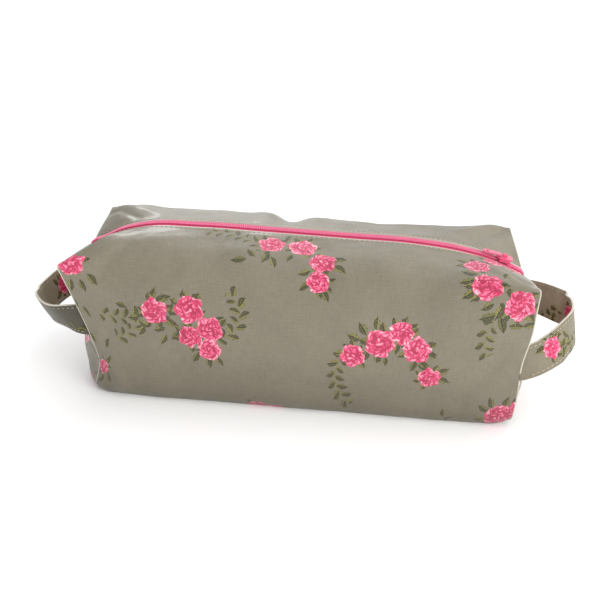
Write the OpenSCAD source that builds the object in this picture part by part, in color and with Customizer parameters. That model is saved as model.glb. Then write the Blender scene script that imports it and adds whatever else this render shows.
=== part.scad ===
// Boxed zip pouch in coated cloth with a strap loop at each end.
// Millimetres. +X along the zip, +Y towards the back, +Z up.
// Origin: middle of the flat base, on the surface the pouch stands on.

/* [Pouch] */
// Length between the raised top corners
bag_len = 280; // [260:1:300]
// Length of the base
base_len = 267; // [255:1:280]
// Depth between the top corners
bag_depth = 98; // [90:1:104]
// Depth of the base
base_depth = 95; // [86:1:100]
// Height of the top corners
corner_h = 88; // [84:1:94]
// Height of the zip half way along
ridge_mid_h = 102; // [99:0.5:105]
// Height of the zip where it turns down at each end
ridge_end_h = 86; // [84:0.5:88]

/* [Cloth] */
// Thickness of the coated outer cloth
cloth_t = 0.8; // [0.6:0.05:1]
// Thickness of the lining cloth
lining_t = 0.5; // [0.3:0.05:0.6]

/* [Zip] */
// Half of the gap between the two folded cloth edges
slot_half = 4; // [3.5:0.1:5]
// Width of one zip tape
tape_w = 12; // [10:0.5:14]
// Outer half width of the closed coil
coil_half = 2.4; // [2.2:0.1:2.6]
// Rise of the coil above the ridge line
coil_rise = 1.2; // [0.8:0.1:1.3]
// Half length of the part of the zip that opens
flap_half_len = 98; // [90:1:100]

/* [Slider] */
// Distance of the closed slider from mid length
slider_x = 124; // [122:0.5:126]
// Length of the slider
slider_len = 10; // [8:0.5:11]
// Width of the slider
slider_w = 7.6; // [7:0.1:7.8]
// Length of the pull tab
tab_len = 14; // [10:0.5:16]
// Width of the pull tab
tab_w = 4.5; // [3.5:0.1:5]

/* [Strap loops] */
// Width of the strap
strap_w = 22; // [18:0.5:22]
// Height of the middle of the strap where it is sewn in
strap_h = 46; // [42:0.5:50]
// Reach of each loop beyond the corner seams
strap_reach = 33; // [26:1:36]
// Thickness of one ply of the strap
ply_t = 0.8; // [0.6:0.05:0.9]
// Tilt of the left loop above level
left_raise = 5; // [0:1:20]
// Tilt of the right loop above level
right_raise = 24; // [0:1:35]

/* [Hidden] */
$fn = 96;
steps = 20;
// layers, counted inwards from the outer surface
tape_top = cloth_t + 0.05;
tape_t = 0.5;
tape_bot = tape_top + tape_t;
lining_top = tape_bot + 0.15;
lining_bot = lining_top + lining_t;
coil_in = 0.6;
gap = 0.35;
// the ridge is one arc about an axis far below the base
rise = ridge_mid_h - ridge_end_h;
flare_x = (bag_len - base_len) / 2 / corner_h;
flare_y = (bag_depth - base_depth) / 2 / corner_h;
ridge_half = base_len / 2 + flare_x * ridge_end_h;
ridge_r = (ridge_half * ridge_half + rise * rise) / (2 * rise);
axis_z = ridge_mid_h - ridge_r;
slider_a = asin(slider_x / ridge_r);
// hinge lines of the two top flaps
hinge_y = bag_depth / 2 - 0.6;
hinge_z = corner_h - 0.5;
lip_y = bag_depth / 2 - 2;
flap_y = lip_y - 0.5;
// strap loops: arc through both corner seams
strap_z = strap_h;
seam_x = base_len / 2 + flare_x * strap_z;
seam_y = base_depth / 2;
loop_r = (seam_y * seam_y + strap_reach * strap_reach) / (2 * strap_reach);
loop_x = seam_x + strap_reach - loop_r;
pivot_x = seam_x + 7.25;
tail_r = 11.7;
loop_start_r = 12.05;

cloth_c = [0.60, 0.58, 0.51];
lining_c = [0.86, 0.84, 0.78];
zip_c = [0.86, 0.36, 0.50];
thread_c = [0.90, 0.70, 0.72];
metal_c = [0.80, 0.32, 0.46];

// height of the ridge surface, t below the outer surface
function ridge_z(x, t) = axis_z + sqrt((ridge_r - t) * (ridge_r - t) - x * x);
function half_x(z, t) = base_len / 2 + flare_x * z - t;
function half_y(z, t) = base_depth / 2 + flare_y * z - t;

// points of the closed pouch shape, t inside the outer surface
function env_points(t) =
  let (zb = t, zc = corner_h - t, ze = ridge_end_h - t)
  [for (i = [0:steps]) let (u = 2 * i / steps - 1, xr = u * half_x(ze, t))
     each [[u * half_x(zb, t), -half_y(zb, t), zb],
           [u * half_x(zb, t), half_y(zb, t), zb],
           [u * half_x(zc, t), -half_y(zc, t), zc],
           [u * half_x(zc, t), half_y(zc, t), zc],
           [xr, 0, abs(u) == 1 ? ze : ridge_z(xr, t)]]];

// the top is ruled; its diagonals mirror about mid length
env_faces = concat(
  [for (i = [0:steps - 1]) let (a = 5 * i, b = 5 * i + 5, left = 2 * i < steps)
     each concat([[a, a + 2, b + 2, b],
                  [a + 1, b + 1, b + 3, a + 3],
                  [a, b, b + 1, a + 1]],
                 left ? [[a + 2, a + 4, b + 4], [a + 2, b + 4, b + 2],
                         [a + 4, a + 3, b + 4], [a + 3, b + 3, b + 4]]
                      : [[a + 2, a + 4, b + 2], [a + 4, b + 4, b + 2],
                         [a + 4, a + 3, b + 3], [a + 4, b + 3, b + 4]])],
  [[0, 1, 3, 4, 2],
   [5 * steps, 5 * steps + 2, 5 * steps + 4, 5 * steps + 3, 5 * steps + 1]]);

module env(t) {
  polyhedron(env_points(t), env_faces);
}

// layer of the pouch shape between two depths
module layer(t0, t1) {
  difference() {
    env(t0);
    env(t1);
  }
}

module box(x0, x1, y0, y1, z0, z1) {
  translate([x0, y0, z0]) cube([x1 - x0, y1 - y0, z1 - z0]);
}

// the back half is the front half mirrored
module side(s) {
  if (s < 0) children();
  else mirror([0, 1, 0]) children();
}

// region of the zip slot: along the top and half way down each end
module slot(w) {
  box(-200, 200, -w, w, corner_h / 2, 120);
}

// region of the moving flap, with a running gap all round
module flap_hole() {
  box(-flap_half_len - gap, flap_half_len + gap, -lip_y, 10, ridge_end_h - 8, 120);
}

// fixed half of a cloth layer
module half_layer(t0, t1, w) {
  difference() {
    layer(t0, t1);
    box(-200, 200, 0, 60, -10, 120);
    slot(w);
    flap_hole();
  }
}

module front_outer_panel() color(cloth_c) half_layer(0, cloth_t, slot_half);
module back_outer_panel() color(cloth_c) side(1) half_layer(0, cloth_t, slot_half);
module front_lining() color(lining_c) half_layer(lining_top, lining_bot, slot_half + 1.5);
module back_lining() color(lining_c) side(1) half_layer(lining_top, lining_bot, slot_half + 1.5);

// fixed zip over one end and half way down it
module zip_end() {
  intersection() {
    union() {
      intersection() {
        layer(tape_top, tape_bot);
        box(-200, 200, -tape_w, -coil_in, corner_h / 2, 120);
      }
      intersection() {
        layer(-coil_rise, tape_bot);
        box(-200, 200, -coil_half, -coil_in, corner_h / 2, 120);
      }
    }
    box(flap_half_len + gap, 200, -20, 0, 0, 120);
  }
}

module front_zip_right_end() color(zip_c) zip_end();
module back_zip_right_end() color(zip_c) side(1) zip_end();
module front_zip_left_end() color(zip_c) mirror([1, 0, 0]) zip_end();
module back_zip_left_end() color(zip_c) mirror([1, 0, 0]) side(1) zip_end();

// strip of a moving flap between two widths and two depths
module flap_strip(t0, t1, y0, y1) {
  intersection() {
    layer(t0, t1);
    box(-flap_half_len, flap_half_len, -y1, -y0, ridge_end_h - 8, 120);
  }
}

module flap_tape() {
  difference() {
    flap_strip(tape_top, tape_bot, coil_in, tape_w);
    flap_coil();
  }
}

module flap_coil() {
  flap_strip(-coil_rise, tape_top + 0.2, coil_in, coil_half);
}

module front_flap_cloth() color(cloth_c) flap_strip(0, cloth_t, slot_half, flap_y);
module back_flap_cloth() color(cloth_c) side(1) flap_strip(0, cloth_t, slot_half, flap_y);
module front_flap_lining() color(lining_c) flap_strip(lining_top, lining_bot, slot_half + 1.5, flap_y - 1.5);
module back_flap_lining() color(lining_c) side(1) flap_strip(lining_top, lining_bot, slot_half + 1.5, flap_y - 1.5);
module front_zip_tape() color(zip_c) flap_tape();
module back_zip_tape() color(zip_c) side(1) flap_tape();
module front_zip_coil() color(zip_c) flap_coil();
module back_zip_coil() color(zip_c) side(1) flap_coil();
module front_topstitch() color(thread_c) flap_strip(-0.3, 0, slot_half + 2, slot_half + 2.6);
module back_topstitch() color(thread_c) side(1) flap_strip(-0.3, 0, slot_half + 2, slot_half + 2.6);

// carries a part drawn at mid length along the ridge to the closed slider's place
module at_slider() {
  translate([0, 0, axis_z]) rotate([0, slider_a, 0]) translate([0, 0, ridge_r]) children();
}

slider_top = coil_rise + 0.3;
slider_bot = -tape_bot - 0.6;

module rounded_plate(l, w, r, z0, z1) {
  translate([0, 0, z0]) linear_extrude(z1 - z0) union() {
    square([l - 2 * r, w], center = true);
    square([l, w - 2 * r], center = true);
    for (sx = [-1, 1]) for (sy = [-1, 1])
      translate([sx * (l / 2 - r), sy * (w / 2 - r)]) circle(r);
  }
}

module zip_slider() color(metal_c) at_slider() {
  union() {
    rounded_plate(slider_len, slider_w, 2, slider_top, slider_top + 0.7);
    rounded_plate(slider_len, slider_w, 2, slider_bot - 0.8, slider_bot);
    // side flanges over the coil
    for (s = [-1, 1])
      translate([-slider_len / 2 + 2, s > 0 ? slider_w / 2 - 0.9 : -slider_w / 2, -0.2])
        cube([slider_len - 4, 0.9, slider_top + 0.4]);
    // bridge between the plates
    translate([slider_len / 2 - 4, -0.25, slider_bot - 0.4])
      cube([3, 0.5, slider_top - slider_bot + 0.8]);
  }
}

crown_z = slider_top + 0.7;
pin_z = crown_z + 0.9;

// two low cheeks with a cross pin that the pull tab turns on
module slider_crown() color(metal_c) at_slider() {
  union() {
    for (s = [-1, 1])
      translate([-1.4, s > 0 ? 0.75 : -1.25, crown_z]) cube([2.8, 0.5, 1.6]);
    translate([0, 1.25, pin_z]) rotate([90, 0, 0]) cylinder(r = 0.35, h = 2.5);
  }
}

// the pull tab lies back along the closed zip
module pull_tab() color(metal_c) at_slider() mirror([1, 0, 0]) {
  difference() {
    union() {
      translate([0, 0.5, pin_z]) rotate([90, 0, 0]) cylinder(r = 0.75, h = 1);
      translate([0, -0.5, pin_z - 0.3]) cube([3, 1, 0.7]);
      translate([tab_len / 2 + 1.2, 0, 0])
        rounded_plate(tab_len - 2.4, tab_w, 1.6, pin_z - 0.3, pin_z + 0.4);
    }
    translate([0, 2, pin_z]) rotate([90, 0, 0]) cylinder(r = 0.42, h = 4);
    translate([tab_len - 2.8, 0, pin_z - 2]) cylinder(r = 1, h = 4);
  }
}

// right loop drawn level; raise turns it about its pivot line
module loop_ring(r0, r1, z0, z1) {
  translate([loop_x, 0, z0]) linear_extrude(z1 - z0) difference() {
    circle(r1, $fn = 128);
    circle(r0, $fn = 128);
  }
}

module pivot_drum(r) {
  translate([pivot_x, 70, strap_z]) rotate([90, 0, 0]) cylinder(r = r, h = 140);
}

module moving_part(raise) {
  translate([pivot_x, 0, strap_z]) rotate([0, -raise, 0]) translate([-pivot_x, 0, -strap_z])
    difference() {
      children();
      box(-60, pivot_x, -70, 70, 0, 120);
      pivot_drum(loop_start_r);
    }
}

module tail(s) {
  side(s) difference() {
    intersection() {
      loop_ring(loop_r - 2 * ply_t, loop_r, strap_z - strap_w / 2, strap_z + strap_w / 2);
      union() {
        box(seam_x - 2, pivot_x, -70, -10, 0, 120);
        intersection() {
          pivot_drum(tail_r);
          box(seam_x - 2, 200, -70, -10, 0, 120);
        }
      }
    }
    env(0);
  }
}

module outer_ply(raise) {
  moving_part(raise) loop_ring(loop_r - ply_t, loop_r, strap_z - strap_w / 2, strap_z + strap_w / 2);
}

module inner_ply(raise) {
  moving_part(raise)
    loop_ring(loop_r - 2 * ply_t, loop_r - ply_t, strap_z - strap_w / 2, strap_z + strap_w / 2);
}

module ply_stitch(raise, z) {
  moving_part(raise) loop_ring(loop_r, loop_r + 0.3, strap_z + z - 0.35, strap_z + z + 0.35);
}

stitch_z = strap_w / 2 - 2.2;

module right_strap_front_tail() color(cloth_c) tail(-1);
module right_strap_back_tail() color(cloth_c) tail(1);
module right_strap_outer_ply() color(cloth_c) outer_ply(right_raise);
module right_strap_inner_ply() color(cloth_c) inner_ply(right_raise);
module right_strap_upper_stitch() color(thread_c) ply_stitch(right_raise, stitch_z);
module right_strap_lower_stitch() color(thread_c) ply_stitch(right_raise, -stitch_z);
module left_strap_front_tail() color(cloth_c) mirror([1, 0, 0]) tail(-1);
module left_strap_back_tail() color(cloth_c) mirror([1, 0, 0]) tail(1);
module left_strap_outer_ply() color(cloth_c) mirror([1, 0, 0]) outer_ply(left_raise);
module left_strap_inner_ply() color(cloth_c) mirror([1, 0, 0]) inner_ply(left_raise);
module left_strap_upper_stitch() color(thread_c) mirror([1, 0, 0]) ply_stitch(left_raise, stitch_z);
module left_strap_lower_stitch() color(thread_c) mirror([1, 0, 0]) ply_stitch(left_raise, -stitch_z);

front_outer_panel();
back_outer_panel();
front_lining();
back_lining();
front_zip_left_end();
back_zip_left_end();
front_zip_right_end();
back_zip_right_end();
front_flap_cloth();
front_flap_lining();
front_zip_tape();
front_zip_coil();
front_topstitch();
back_flap_cloth();
back_flap_lining();
back_zip_tape();
back_zip_coil();
back_topstitch();
zip_slider();
slider_crown();
pull_tab();
left_strap_front_tail();
left_strap_back_tail();
left_strap_outer_ply();
left_strap_inner_ply();
left_strap_upper_stitch();
left_strap_lower_stitch();
right_strap_front_tail();
right_strap_back_tail();
right_strap_outer_ply();
right_strap_inner_ply();
right_strap_upper_stitch();
right_strap_lower_stitch();
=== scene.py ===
# Looks of the boxed zip pouch: coated cloth with a rose print, pink zip, strap loops.
# Lengths in this script are millimetres until a mesh is made, then metres.
import math

import bmesh
import bpy
import numpy as np
from mathutils import Matrix, Vector


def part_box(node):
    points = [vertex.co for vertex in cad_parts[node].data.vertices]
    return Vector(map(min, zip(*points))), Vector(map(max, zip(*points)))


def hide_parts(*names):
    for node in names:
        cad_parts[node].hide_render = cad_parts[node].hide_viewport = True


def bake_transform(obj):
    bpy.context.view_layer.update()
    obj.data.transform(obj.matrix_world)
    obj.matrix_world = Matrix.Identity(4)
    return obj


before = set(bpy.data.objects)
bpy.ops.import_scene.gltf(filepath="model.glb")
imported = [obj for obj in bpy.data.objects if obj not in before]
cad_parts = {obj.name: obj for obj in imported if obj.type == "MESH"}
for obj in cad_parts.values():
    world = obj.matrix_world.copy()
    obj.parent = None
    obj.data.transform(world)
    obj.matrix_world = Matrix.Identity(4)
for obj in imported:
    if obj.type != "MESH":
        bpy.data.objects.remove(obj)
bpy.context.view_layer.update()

# ---------------------------------------------------------------- sizes from the frame
# the tables below are drawn for a pouch of this half length, half depth and height (m)
DRAWN = (0.140, 0.049, 0.102)
COIL_STANDS = 0.0012
panel_low, panel_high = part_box("front_outer_panel")
_, coil_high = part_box("front_zip_coil")
SCALE = np.array([panel_high.x, -panel_low.y, coil_high.z - COIL_STANDS]) / DRAWN


# ---------------------------------------------------------------- small helpers
def smooth(t):
    t = np.clip(t, 0, 1)
    return t * t * (3 - 2 * t)


def spline(k, p, t):
    """Smooth curve through the rows of p at the knots k, read at t."""
    k, p, t = np.asarray(k, float), np.asarray(p, float), np.asarray(t, float)
    h = np.diff(k)
    shape = (-1,) + (1,) * (p.ndim - 1)
    d = np.diff(p, axis=0) / h.reshape(shape)
    m = np.empty_like(p)
    w = (h[:-1] / (h[:-1] + h[1:])).reshape(shape)
    m[1:-1] = d[:-1] * (1 - w) + d[1:] * w
    m[0], m[-1] = 1.5 * d[0] - 0.5 * m[1], 1.5 * d[-1] - 0.5 * m[-2]
    i = np.clip(np.searchsorted(k, t, side="right") - 1, 0, len(k) - 2)
    s = ((t - k[i]) / h[i]).reshape(shape)
    hh = h[i].reshape(shape)
    return (
        p[i] * (1 + 2 * s) * (1 - s) ** 2
        + m[i] * hh * s * (1 - s) ** 2
        + p[i + 1] * s * s * (3 - 2 * s)
        + m[i + 1] * hh * s * s * (s - 1)
    )


def waves(seed, n, shortest, longest):
    """Smooth seeded noise of two flat coordinates, about -1 to 1."""
    r = np.random.default_rng(seed)
    a = r.uniform(0, math.tau, n)
    f = math.tau / r.uniform(shortest, longest, n)
    kx, ky, ph = f * np.cos(a), f * np.sin(a), r.uniform(0, math.tau, n)

    def at(u, v):
        total = sum(np.sin(kx[i] * u + ky[i] * v + ph[i]) for i in range(n))
        return total / math.sqrt(n)

    return at


def crease(u, v, a, b, width, height):
    """A raised or sunk fold along the flat line a to b, fading at both ends."""
    a, b = np.array(a, float), np.array(b, float)
    d = b - a
    t = ((u - a[0]) * d[0] + (v - a[1]) * d[1]) / (d @ d)
    tt = np.clip(t, 0, 1)
    dist = np.hypot(u - a[0] - tt * d[0], v - a[1] - tt * d[1])
    fade = smooth(np.minimum(t + 0.15, 1.15 - t) / 0.35)
    return height * np.exp(-((dist / width) ** 2)) * fade


def dent(u, v, c, ru, rv, height):
    """A round dent, or with a height above 0 a swelling."""
    return height * np.exp(-(((u - c[0]) / ru) ** 2) - ((v - c[1]) / rv) ** 2)


def unit(v):
    """The last axis of v at length 1."""
    return v / np.maximum(np.linalg.norm(v, axis=-1, keepdims=True), 1e-9)


def square_to(t, v):
    """The part of v square to the unit rows t, at length 1."""
    return unit(v - np.sum(v * t, 1, keepdims=True) * t)


def grid_normals(p):
    return unit(np.cross(np.gradient(p, axis=1), np.gradient(p, axis=0)))


def run(curve):
    """Distance of each row from the first, along the curve."""
    return np.concatenate([[0], np.cumsum(np.linalg.norm(np.diff(curve, axis=0), axis=1))])


def read(curve, s, t):
    """A curve known at distances s, read at distances t."""
    return np.stack([np.interp(t, s, curve[:, k]) for k in range(3)], axis=1)


def resample(curve, n):
    s = run(curve)
    return read(curve, s, np.linspace(0, s[-1], n))


def quads(i):
    """Faces of a grid of vertex numbers."""
    return np.stack([i[:-1, :-1], i[:-1, 1:], i[1:, 1:], i[1:, :-1]], -1).reshape(-1, 4)


def place(name, data):
    """New object of that data, linked to the scene."""
    ob = bpy.data.objects.new(name, data)
    bpy.context.scene.collection.objects.link(ob)
    return ob


def place_smooth(name, me):
    me.polygons.foreach_set("use_smooth", [True] * len(me.polygons))
    me.update()
    return place(name, me)


# ---------------------------------------------------------------- shape of the pouch
# The flat cloth's coordinates: u along the pouch from its middle, v from the base seam.
HALF_U = 140  # the end seams
EDGE_V = 179  # the folded edge beside the zip
ZIP_GAP = 5  # from that edge to the zip's middle
BODY_ROWS, BODY_COLS = 151, 237
# v of each control row, and the stations along the pouch that the sections below belong to
ROW_V = [0, 30, 45.7, 49.4, 68.5, 90.7, 113, 128.5, 138.5, 150.3, 165, EDGE_V]
STATION = [-1, -0.93, -0.85, -0.72, -0.45, -0.1, 0.2, 0.5, 0.72, 0.85, 0.93, 1]
# each section's points (distance from the zip's plane, height): the base and side, then the top
BASE = [
    [(0, 2.5), (28, 3), (42, 3.5), (45, 5.5), (46, 22), (47.5, 40)],
    [(0, 0.5), (30, 0.6), (45, 1.2), (47, 4), (48, 22), (48.3, 42)],
    [(0, 0), (30, 0), (45.5, 0.6), (47.8, 3.4), (48.6, 22), (49, 44)],
    [(0, 0), (30, 0), (46, 0.3), (48.2, 3.2), (49.2, 22), (49.8, 44)],
    *[[(0, 0), (30, 0), (46, 0.2), (48.4, 3.2), (49.6, 22), (50.2, 44)]] * 4,
    [(0, 0), (30, 0), (46, 0.2), (48.3, 3.2), (49.4, 22), (49.9, 44)],
    [(0, 0), (30, 0), (45.8, 0.5), (48, 3.4), (48.9, 22), (49.3, 44)],
    [(0, 0.3), (30, 0.4), (45.3, 1), (47.5, 4), (48.4, 22), (48.9, 44)],
    [(0, 2), (28, 2.2), (43, 2.8), (46, 5), (47.5, 22), (48.2, 44)],
]
FRONT_TOP = [
    [(48.3, 66), (48.9, 82), (49, 89.5), (37, 88.6), (20, 87.3), (5, 86)],
    [(48.9, 66), (48.6, 82), (45.5, 90.5), (35, 94), (19, 92.5), (5, 89.3)],
    [(49, 66), (47, 82), (41.5, 92.5), (32, 98.2), (18, 98.6), (5, 94.8)],
    [(49.2, 66), (46, 81.5), (39.5, 91.5), (30, 98), (17, 100.6), (5, 100)],
    [(49.2, 66), (45.5, 80.5), (39, 89.8), (29.5, 96.3), (17, 99.8), (5, 101.8)],
    [(48.6, 67), (44.5, 80.5), (38, 89), (28.8, 95.2), (16.5, 98.8), (5, 100.9)],
    [(48.6, 67), (44.5, 80.5), (38, 88.6), (28.8, 94.6), (16.5, 98), (5, 99.9)],
    [(49, 67), (45.5, 81), (39.5, 89.2), (30, 94.4), (17, 97.6), (5, 98.8)],
    [(49.2, 66), (47, 82), (42, 91), (32, 95.2), (18, 96), (5, 95)],
    [(49.2, 66), (48.2, 82.5), (44.5, 92.5), (35, 95.5), (19, 93.8), (5, 90.6)],
    [(49.2, 66), (49, 82.5), (47.3, 92.6), (37, 93), (20, 89.8), (5, 86.2)],
    [(48.6, 66), (48.9, 83), (48.6, 92), (37, 90), (20, 86.2), (5, 82.3)],
]
BACK_TOP = [
    [(48.3, 66), (48.9, 83), (49.3, 91.5), (37, 90.3), (20, 88.2), (5, 86)],
    [(48.9, 66), (49, 84), (46.8, 93.3), (36, 96), (19.5, 94.3), (5, 89.3)],
    [(49, 66), (48.8, 85), (45, 94.8), (34.5, 98.4), (18.5, 98.6), (5.2, 94.8)],
    [(49, 66), (48.5, 85), (44.2, 94.2), (34, 97.6), (18, 99.8), (5.6, 100)],
    [(49, 66), (48.5, 85.5), (44.5, 94.3), (34, 98), (18, 100.4), (6.4, 101.8)],
    [(49, 66), (48.4, 84.5), (44.2, 93.2), (34, 96.8), (18, 99.2), (6.6, 100.9)],
    [(49, 66), (48.4, 84), (44, 92.3), (34, 95.6), (18, 98.2), (6.6, 99.9)],
    [(49, 66), (48.6, 84), (44.2, 92), (34, 94.6), (18, 97.2), (6.6, 98.8)],
    [(49.2, 66), (48.8, 84), (44.8, 92.6), (34.5, 94.9), (18.5, 95.6), (6.3, 95)],
    [(49.2, 66), (49, 84.5), (46.3, 93.4), (36, 94.2), (19.5, 92.9), (6, 90.6)],
    [(49, 66), (49, 84.5), (47.8, 92.2), (37, 91.8), (20, 89.3), (5.6, 86.2)],
    [(48.6, 66), (48.9, 83.5), (48.2, 92.6), (36, 90.2), (20, 86), (5, 82.3)],
]
# how far out the end seam is on each row, at the left and the right; B is the back half
END_L = [136, 134.5, 128.5, 127.5, 122.6, 125, 132.8, 138.2, 140.4, 139.8, 138.8, 137.5]
END_LB = [136, 135, 131, 129.5, 127, 127, 135, 138.4, 140.4, 139.8, 138.8, 137.5]
END_R = [134.5, 134.5, 134, 134.2, 135.7, 135.6, 138.8, 139.3, 139.6, 139, 138, 136.6]
END_RB = [134.5, 134.5, 134, 134.2, 135.2, 135.6, 136, 134.8, 132.4, 133.6, 135.4, 136.6]
# control rows where an end's two patches begin, meet and end, and about how wide and high each is
SEAM_ROW, MID_ROW, TOP_ROW = 2, 5, 8
END_SPAN = 44

# folds of each half: both ends of the line on the flat cloth, half width, height outwards
CREASES = {
    -1: [
        ((-139, 139), (-112, 165), 3.2, 0.9), ((-134, 150), (-104, 172), 2.6, -0.8),
        ((-108, 152), (-60, 166), 5, 0.6), ((-118, 128), (-96, 160), 4, -0.7),
        ((138, 140), (112, 158), 3.4, 1.0), ((137, 149), (108, 170), 2.8, -1.0),
        ((116, 142), (92, 150), 4.2, 0.8), ((16, 168), (20, 128), 4.5, -0.55), ((10, 96), (6, 76), 5, 0.4),
        ((-126, 86), (-98, 122), 6, -1.1), ((-130, 74), (-112, 52), 5, 0.9),
        ((100, 60), (126, 92), 7, -0.8),
    ],
    1: [
        ((137, 140), (104, 168), 3.2, -1.2), ((138, 134), (98, 156), 3.6, 1.3),
        ((138, 150), (116, 172), 2.6, 1.0), ((-138, 140), (-100, 164), 4, 1.0),
        ((-136, 150), (-108, 172), 3, -0.9),
    ],
}
# dents of each half: centre, half widths along u and v, height outwards
DENTS = {
    -1: [((-118, 60), 6, 8, 1.0)],
    1: [((-12, 143), 8.5, 13, -4.6), ((-30, 146), 10, 12, 0.9), ((8, 147), 11, 12, 0.8)],
}

slack = waves(3, 14, 45, 95)
ripple = waves(11, 16, 16, 34)
crinkle = waves(5, 18, 7, 14)


def relief(side, u, v):
    """Dents, folds and slack of the cloth, outwards, on its flat coordinates."""
    top = smooth((v - 118) / 30)
    d = 0.55 * slack(u, v + 400 * (side > 0)) * (0.5 + 0.8 * top)
    d = d + 0.16 * ripple(u, v + 300 * (side > 0)) + 0.035 * crinkle(u, v)
    for dip in DENTS[side]:
        d = d + dent(u, v, *dip)
    for fold in CREASES[side]:
        d = d + crease(u, v, *fold)
    # puckers along the end seams, and a quiet base
    edge = np.exp(-(HALF_U - np.abs(u)) / 6.5)
    d = d + 0.42 * edge * np.sin(v / 2.1 + 1.3 * np.sin(v / 7.7))
    return d * (0.15 + 0.85 * smooth((v - 40) / 12))


def control(side, u):
    """Section at station u (-1 to 1): rows of x, y, z."""
    top = FRONT_TOP if side < 0 else BACK_TOP
    table = np.concatenate([np.array(BASE, float), np.array(top, float)], axis=1)
    qz = spline(STATION, table, u)
    nominal = 133.5 + 0.0739 * qz[..., 1]
    right = np.array(END_R if side < 0 else END_RB, float)
    left = np.array(END_L if side < 0 else END_LB, float)
    end = np.where(u[:, None] < 0, left, right)
    x = u[:, None] * (nominal + (end - nominal) * np.abs(u[:, None]) ** 5)
    return np.stack([x, side * qz[..., 0], qz[..., 1]], axis=-1)


def tube(side):
    """Front or back half of the body, from the base seam to the zip: points, flat
    coordinates. Rows run from the seam to the zip."""
    t = np.linspace(0, 1, BODY_COLS) * 2 - 1
    u = np.sign(t) * (1 - (1 - np.abs(t)) ** 1.12)
    sec = control(side, u)
    v = np.linspace(0, EDGE_V, BODY_ROWS)
    p = spline(ROW_V, np.swapaxes(sec, 0, 1), v)
    uu, vv = np.meshgrid(u * HALF_U, v)
    n = grid_normals(p) * side * -1
    hold = smooth((HALF_U - np.abs(uu)) / 5) * smooth((EDGE_V - vv) / 7) * smooth(vv / 6)
    p = p + n * (relief(side, uu, vv) * hold)[..., None]
    p[..., 2] = np.maximum(p[..., 2], 0.05)
    return p, np.stack([uu, vv], axis=-1)


def coons(bottom, top, left, right):
    """Patch between four border curves; bottom and top run along a, left and right along b."""
    a = np.linspace(0, 1, len(bottom))[None, :, None]
    b = np.linspace(0, 1, len(left))[:, None, None]
    ruled = (1 - b) * bottom[None] + b * top[None]
    ruled2 = (1 - a) * left[:, None] + a * right[:, None]
    corner = (
        (1 - a) * (1 - b) * bottom[0]
        + a * (1 - b) * bottom[-1]
        + (1 - a) * b * top[0]
        + a * b * top[-1]
    )
    return ruled + ruled2 - corner


def row_of(v):
    return int(round(v / EDGE_V * (BODY_ROWS - 1)))


# x and z down the middle of each end face
CENTRE = {
    -1: [(-136, 2.5), (-140, 20), (-139.5, 44), (-138.6, 66), (-137.5, 86)],
    1: [(134.5, 2), (137.5, 20), (138, 44), (137.8, 64), (136.6, 82)],
}


def end_patches(side, e, body):
    """Lower and upper part of one end, for one half of the pouch."""
    col = body[:, 0] if e < 0 else body[:, -1]
    seam, middle, corner = (row_of(ROW_V[k]) for k in (SEAM_ROW, MID_ROW, TOP_ROW))
    centre = spline(range(5), [(x, 0, z) for x, z in CENTRE[e]], np.linspace(0, 4, 81))
    n = 40
    mid = resample(np.stack([col[middle], centre[40]]), n)
    a = np.linspace(0, 1, n)
    mid[:, 0] += e * (4.5 if e < 0 else 2.0) * np.sin(math.pi * a) * (1 - 0.4 * a)
    low = coons(
        resample(col[: seam + 1][::-1], n),
        mid,
        resample(col[seam : middle + 1], 34),
        resample(centre[:41], 34),
    )
    zip_line = centre[40:].copy()
    zip_line[:, 1] = side * ZIP_GAP
    zip_line[-1] = col[-1]
    top_edge = resample(col[corner:], n)
    mid_up = mid.copy()
    mid_up[:, 1] = np.interp(a, [0, 1], [mid[0, 1], side * ZIP_GAP])
    up = coons(mid_up, top_edge, resample(col[middle : corner + 1], 38), resample(zip_line, 38))
    out = []
    for k, (g, seed) in enumerate(((low, 21), (up, 33))):
        rows, cols = g.shape[:2]
        bb, aa = np.meshgrid(np.linspace(0, 1, rows), np.linspace(0, 1, cols), indexing="ij")
        inner = np.sin(math.pi * bb) ** 0.7 * smooth(aa * 5) * (smooth((1 - aa) * 6) if k else 1)
        swell = (5.0 if e < 0 else 3.2) if k == 0 else -1.2
        w = waves(seed + (e > 0) * 5, 8, 16, 50)
        lump = w((1 - aa) * 45 * side, bb * 45)
        g[..., 0] += e * inner * (swell * np.sin(math.pi * (aa * 0.8 + 0.1)) + 0.9 * lump)
        pull = np.exp(-(bb if k else 1 - bb) * END_SPAN / 3.5)
        g[..., 0] -= e * pull * smooth(aa * 8)
        g[..., 0] += e * 0.35 * pull * np.sin(aa * END_SPAN / 1.6) * smooth(aa * 8)
        if k == 0:
            uv = np.stack([e * (136 + bb * 42), ROW_V[SEAM_ROW] * (1 - aa)], -1)
        else:
            upper_v = ROW_V[TOP_ROW] + aa * (EDGE_V - ROW_V[TOP_ROW])
            uv = np.stack([e * (HALF_U + (1 - bb) * END_SPAN), upper_v], -1)
        out.append((g, uv))
    return out


def hem(edge, before, up, r=0.6, tuck=6.0):
    """Folded cloth edge: rolls under after the last row and runs back inside."""
    t = unit(edge - before)
    n = square_to(t, up)
    rows = []
    for f in np.linspace(0, math.pi, 7)[1:]:
        rows.append(edge + t * r * math.sin(f) - n * r * (1 - math.cos(f)))
    for k in (1.2, 2.6, tuck):
        rows.append(edge - t * k - n * (2 * r + 0.02 * k))
    return np.stack(rows)


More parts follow.
